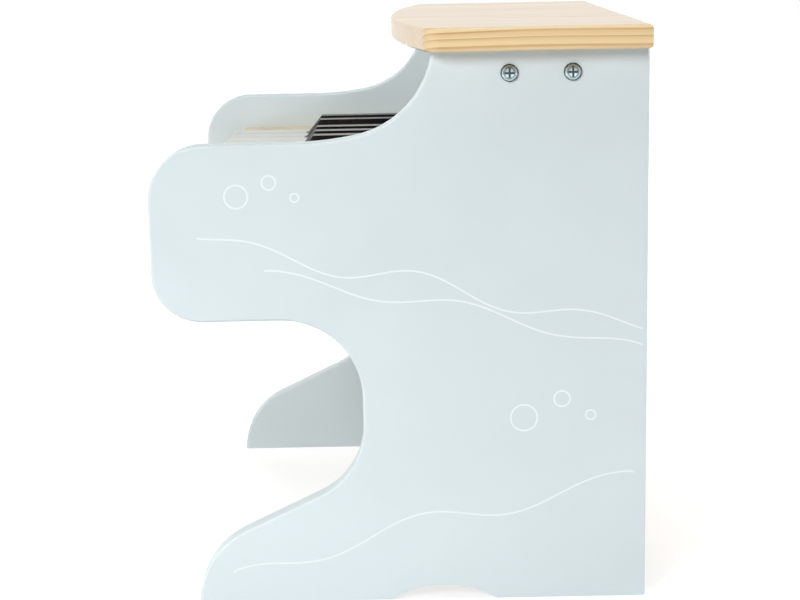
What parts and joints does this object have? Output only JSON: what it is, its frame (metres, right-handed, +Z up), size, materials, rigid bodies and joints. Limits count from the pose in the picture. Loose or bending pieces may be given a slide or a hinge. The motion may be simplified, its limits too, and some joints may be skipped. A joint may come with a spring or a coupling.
{
  "type": "toy piano",
  "caption": "Upright wooden toy piano with painted side panels, a pine top board, working keys that lift hammers under steel tone bars, and an open knee space.",
  "frame": {"origin": "on the floor, in the middle of the case's footprint", "axes": "+X along the keyboard towards the high notes, -Y towards the player, +Z up"},
  "size_m": [0.324, 0.257, 0.304],
  "materials": {
    "blue_paint": "satin paint on wood",
    "pine": "clear matt varnish",
    "beech": "bare",
    "plywood": "bare",
    "white_key": "satin",
    "black_key": "gloss",
    "felt": "felt",
    "steel": "brushed",
    "zinc": "bright zinc plate"
  },
  "bodies": {
    "case": {"side_panel_right": "blue_paint", "side_panel_left": "blue_paint", "top_board": "pine", "top_board_dowels": "beech", "front_board": "blue_paint", "lower_front_board": "blue_paint", "key_slip": "pine", "keybed": "pine", "bottom_board": "pine", "back_panel": "plywood", "back_panel_screws": "zinc", "front_rail": "pine", "front_rail_felt": "felt", "back_rail": "pine", "back_rail_felt": "felt", "end_block_right": "pine", "end_block_left": "pine", "key_pivot_rod": "steel", "hammer_pivot_rod": "steel", "sound_board": "pine", "tone_bars": "steel", "tone_bar_washers": "felt", "tone_bar_pins": "steel", "side_screws": "zinc"},
    "white_key_c1": {"white_key_c1": "white_key"},
    "black_key_c1_sharp": {"black_key_c1_sharp": "black_key"},
    "white_key_d1": {"white_key_d1": "white_key"},
    "black_key_d1_sharp": {"black_key_d1_sharp": "black_key"},
    "white_key_e1": {"white_key_e1": "white_key"},
    "white_key_f1": {"white_key_f1": "white_key"},
    "black_key_f1_sharp": {"black_key_f1_sharp": "black_key"},
    "white_key_g1": {"white_key_g1": "white_key"},
    "black_key_g1_sharp": {"black_key_g1_sharp": "black_key"},
    "white_key_a1": {"white_key_a1": "white_key"},
    "black_key_a1_sharp": {"black_key_a1_sharp": "black_key"},
    "white_key_b1": {"white_key_b1": "white_key"},
    "white_key_c2": {"white_key_c2": "white_key"},
    "black_key_c2_sharp": {"black_key_c2_sharp": "black_key"},
    "white_key_d2": {"white_key_d2": "white_key"},
    "black_key_d2_sharp": {"black_key_d2_sharp": "black_key"},
    "white_key_e2": {"white_key_e2": "white_key"},
    "white_key_f2": {"white_key_f2": "white_key"},
    "hammer_c1": {"hammer_c1": "beech"},
    "hammer_c1_sharp": {"hammer_c1_sharp": "beech"},
    "hammer_d1": {"hammer_d1": "beech"},
    "hammer_d1_sharp": {"hammer_d1_sharp": "beech"},
    "hammer_e1": {"hammer_e1": "beech"},
    "hammer_f1": {"hammer_f1": "beech"},
    "hammer_f1_sharp": {"hammer_f1_sharp": "beech"},
    "hammer_g1": {"hammer_g1": "beech"},
    "hammer_g1_sharp": {"hammer_g1_sharp": "beech"},
    "hammer_a1": {"hammer_a1": "beech"},
    "hammer_a1_sharp": {"hammer_a1_sharp": "beech"},
    "hammer_b1": {"hammer_b1": "beech"},
    "hammer_c2": {"hammer_c2": "beech"},
    "hammer_c2_sharp": {"hammer_c2_sharp": "beech"},
    "hammer_d2": {"hammer_d2": "beech"},
    "hammer_d2_sharp": {"hammer_d2_sharp": "beech"},
    "hammer_e2": {"hammer_e2": "beech"},
    "hammer_f2": {"hammer_f2": "beech"}
  },
  "joints": [
    {"name": "key_c1_press", "type": "hinge", "parent": "case", "child": "white_key_c1", "pos_m": [0, 0.0305, 0.218], "axis": [1, 0, 0], "range_deg": [0, 3.8], "stiffness_Nm_per_rad": 0.5, "springref_deg": -8.59},
    {"name": "key_c1_sharp_press", "type": "hinge", "parent": "case", "child": "black_key_c1_sharp", "pos_m": [0, 0.0305, 0.218], "axis": [1, 0, 0], "range_deg": [0, 3.8], "stiffness_Nm_per_rad": 0.5, "springref_deg": -8.59},
    {"name": "key_d1_press", "type": "hinge", "parent": "case", "child": "white_key_d1", "pos_m": [0, 0.0305, 0.218], "axis": [1, 0, 0], "range_deg": [0, 3.8], "stiffness_Nm_per_rad": 0.5, "springref_deg": -8.59},
    {"name": "key_d1_sharp_press", "type": "hinge", "parent": "case", "child": "black_key_d1_sharp", "pos_m": [0, 0.0305, 0.218], "axis": [1, 0, 0], "range_deg": [0, 3.8], "stiffness_Nm_per_rad": 0.5, "springref_deg": -8.59},
    {"name": "key_e1_press", "type": "hinge", "parent": "case", "child": "white_key_e1", "pos_m": [0, 0.0305, 0.218], "axis": [1, 0, 0], "range_deg": [0, 3.8], "stiffness_Nm_per_rad": 0.5, "springref_deg": -8.59},
    {"name": "key_f1_press", "type": "hinge", "parent": "case", "child": "white_key_f1", "pos_m": [0, 0.0305, 0.218], "axis": [1, 0, 0], "range_deg": [0, 3.8], "stiffness_Nm_per_rad": 0.5, "springref_deg": -8.59},
    {"name": "key_f1_sharp_press", "type": "hinge", "parent": "case", "child": "black_key_f1_sharp", "pos_m": [0, 0.0305, 0.218], "axis": [1, 0, 0], "range_deg": [0, 3.8], "stiffness_Nm_per_rad": 0.5, "springref_deg": -8.59},
    {"name": "key_g1_press", "type": "hinge", "parent": "case", "child": "white_key_g1", "pos_m": [0, 0.0305, 0.218], "axis": [1, 0, 0], "range_deg": [0, 3.8], "stiffness_Nm_per_rad": 0.5, "springref_deg": -8.59},
    {"name": "key_g1_sharp_press", "type": "hinge", "parent": "case", "child": "black_key_g1_sharp", "pos_m": [0, 0.0305, 0.218], "axis": [1, 0, 0], "range_deg": [0, 3.8], "stiffness_Nm_per_rad": 0.5, "springref_deg": -8.59},
    {"name": "key_a1_press", "type": "hinge", "parent": "case", "child": "white_key_a1", "pos_m": [0, 0.0305, 0.218], "axis": [1, 0, 0], "range_deg": [0, 3.8], "stiffness_Nm_per_rad": 0.5, "springref_deg": -8.59},
    {"name": "key_a1_sharp_press", "type": "hinge", "parent": "case", "child": "black_key_a1_sharp", "pos_m": [0, 0.0305, 0.218], "axis": [1, 0, 0], "range_deg": [0, 3.8], "stiffness_Nm_per_rad": 0.5, "springref_deg": -8.59},
    {"name": "key_b1_press", "type": "hinge", "parent": "case", "child": "white_key_b1", "pos_m": [0, 0.0305, 0.218], "axis": [1, 0, 0], "range_deg": [0, 3.8], "stiffness_Nm_per_rad": 0.5, "springref_deg": -8.59},
    {"name": "key_c2_press", "type": "hinge", "parent": "case", "child": "white_key_c2", "pos_m": [0, 0.0305, 0.218], "axis": [1, 0, 0], "range_deg": [0, 3.8], "stiffness_Nm_per_rad": 0.5, "springref_deg": -8.59},
    {"name": "key_c2_sharp_press", "type": "hinge", "parent": "case", "child": "black_key_c2_sharp", "pos_m": [0, 0.0305, 0.218], "axis": [1, 0, 0], "range_deg": [0, 3.8], "stiffness_Nm_per_rad": 0.5, "springref_deg": -8.59},
    {"name": "key_d2_press", "type": "hinge", "parent": "case", "child": "white_key_d2", "pos_m": [0, 0.0305, 0.218], "axis": [1, 0, 0], "range_deg": [0, 3.8], "stiffness_Nm_per_rad": 0.5, "springref_deg": -8.59},
    {"name": "key_d2_sharp_press", "type": "hinge", "parent": "case", "child": "black_key_d2_sharp", "pos_m": [0, 0.0305, 0.218], "axis": [1, 0, 0], "range_deg": [0, 3.8], "stiffness_Nm_per_rad": 0.5, "springref_deg": -8.59},
    {"name": "key_e2_press", "type": "hinge", "parent": "case", "child": "white_key_e2", "pos_m": [0, 0.0305, 0.218], "axis": [1, 0, 0], "range_deg": [0, 3.8], "stiffness_Nm_per_rad": 0.5, "springref_deg": -8.59},
    {"name": "key_f2_press", "type": "hinge", "parent": "case", "child": "white_key_f2", "pos_m": [0, 0.0305, 0.218], "axis": [1, 0, 0], "range_deg": [0, 3.8], "stiffness_Nm_per_rad": 0.5, "springref_deg": -8.59},
    {"name": "hammer_c1_swing", "type": "hinge", "parent": "case", "child": "hammer_c1", "pos_m": [0, 0.1085, 0.238], "axis": [-1, 0, 0], "range_deg": [0, 10.45]},
    {"name": "hammer_c1_sharp_swing", "type": "hinge", "parent": "case", "child": "hammer_c1_sharp", "pos_m": [0, 0.1085, 0.238], "axis": [-1, 0, 0], "range_deg": [0, 10.45]},
    {"name": "hammer_d1_swing", "type": "hinge", "parent": "case", "child": "hammer_d1", "pos_m": [0, 0.1085, 0.238], "axis": [-1, 0, 0], "range_deg": [0, 10.45]},
    {"name": "hammer_d1_sharp_swing", "type": "hinge", "parent": "case", "child": "hammer_d1_sharp", "pos_m": [0, 0.1085, 0.238], "axis": [-1, 0, 0], "range_deg": [0, 10.45]},
    {"name": "hammer_e1_swing", "type": "hinge", "parent": "case", "child": "hammer_e1", "pos_m": [0, 0.1085, 0.238], "axis": [-1, 0, 0], "range_deg": [0, 10.45]},
    {"name": "hammer_f1_swing", "type": "hinge", "parent": "case", "child": "hammer_f1", "pos_m": [0, 0.1085, 0.238], "axis": [-1, 0, 0], "range_deg": [0, 10.45]},
    {"name": "hammer_f1_sharp_swing", "type": "hinge", "parent": "case", "child": "hammer_f1_sharp", "pos_m": [0, 0.1085, 0.238], "axis": [-1, 0, 0], "range_deg": [0, 10.45]},
    {"name": "hammer_g1_swing", "type": "hinge", "parent": "case", "child": "hammer_g1", "pos_m": [0, 0.1085, 0.238], "axis": [-1, 0, 0], "range_deg": [0, 10.45]},
    {"name": "hammer_g1_sharp_swing", "type": "hinge", "parent": "case", "child": "hammer_g1_sharp", "pos_m": [0, 0.1085, 0.238], "axis": [-1, 0, 0], "range_deg": [0, 10.45]},
    {"name": "hammer_a1_swing", "type": "hinge", "parent": "case", "child": "hammer_a1", "pos_m": [0, 0.1085, 0.238], "axis": [-1, 0, 0], "range_deg": [0, 10.45]},
    {"name": "hammer_a1_sharp_swing", "type": "hinge", "parent": "case", "child": "hammer_a1_sharp", "pos_m": [0, 0.1085, 0.238], "axis": [-1, 0, 0], "range_deg": [0, 10.45]},
    {"name": "hammer_b1_swing", "type": "hinge", "parent": "case", "child": "hammer_b1", "pos_m": [0, 0.1085, 0.238], "axis": [-1, 0, 0], "range_deg": [0, 10.45]},
    {"name": "hammer_c2_swing", "type": "hinge", "parent": "case", "child": "hammer_c2", "pos_m": [0, 0.1085, 0.238], "axis": [-1, 0, 0], "range_deg": [0, 10.45]},
    {"name": "hammer_c2_sharp_swing", "type": "hinge", "parent": "case", "child": "hammer_c2_sharp", "pos_m": [0, 0.1085, 0.238], "axis": [-1, 0, 0], "range_deg": [0, 10.45]},
    {"name": "hammer_d2_swing", "type": "hinge", "parent": "case", "child": "hammer_d2", "pos_m": [0, 0.1085, 0.238], "axis": [-1, 0, 0], "range_deg": [0, 10.45]},
    {"name": "hammer_d2_sharp_swing", "type": "hinge", "parent": "case", "child": "hammer_d2_sharp", "pos_m": [0, 0.1085, 0.238], "axis": [-1, 0, 0], "range_deg": [0, 10.45]},
    {"name": "hammer_e2_swing", "type": "hinge", "parent": "case", "child": "hammer_e2", "pos_m": [0, 0.1085, 0.238], "axis": [-1, 0, 0], "range_deg": [0, 10.45]},
    {"name": "hammer_f2_swing", "type": "hinge", "parent": "case", "child": "hammer_f2", "pos_m": [0, 0.1085, 0.238], "axis": [-1, 0, 0], "range_deg": [0, 10.45]}
  ],
  "couplings": [
    {"joint": "hammer_c1_swing", "follows": "key_c1_press", "ratio": 2.75},
    {"joint": "hammer_c1_sharp_swing", "follows": "key_c1_sharp_press", "ratio": 2.75},
    {"joint": "hammer_d1_swing", "follows": "key_d1_press", "ratio": 2.75},
    {"joint": "hammer_d1_sharp_swing", "follows": "key_d1_sharp_press", "ratio": 2.75},
    {"joint": "hammer_e1_swing", "follows": "key_e1_press", "ratio": 2.75},
    {"joint": "hammer_f1_swing", "follows": "key_f1_press", "ratio": 2.75},
    {"joint": "hammer_f1_sharp_swing", "follows": "key_f1_sharp_press", "ratio": 2.75},
    {"joint": "hammer_g1_swing", "follows": "key_g1_press", "ratio": 2.75},
    {"joint": "hammer_g1_sharp_swing", "follows": "key_g1_sharp_press", "ratio": 2.75},
    {"joint": "hammer_a1_swing", "follows": "key_a1_press", "ratio": 2.75},
    {"joint": "hammer_a1_sharp_swing", "follows": "key_a1_sharp_press", "ratio": 2.75},
    {"joint": "hammer_b1_swing", "follows": "key_b1_press", "ratio": 2.75},
    {"joint": "hammer_c2_swing", "follows": "key_c2_press", "ratio": 2.75},
    {"joint": "hammer_c2_sharp_swing", "follows": "key_c2_sharp_press", "ratio": 2.75},
    {"joint": "hammer_d2_swing", "follows": "key_d2_press", "ratio": 2.75},
    {"joint": "hammer_d2_sharp_swing", "follows": "key_d2_sharp_press", "ratio": 2.75},
    {"joint": "hammer_e2_swing", "follows": "key_e2_press", "ratio": 2.75},
    {"joint": "hammer_f2_swing", "follows": "key_f2_press", "ratio": 2.75}
  ]
}
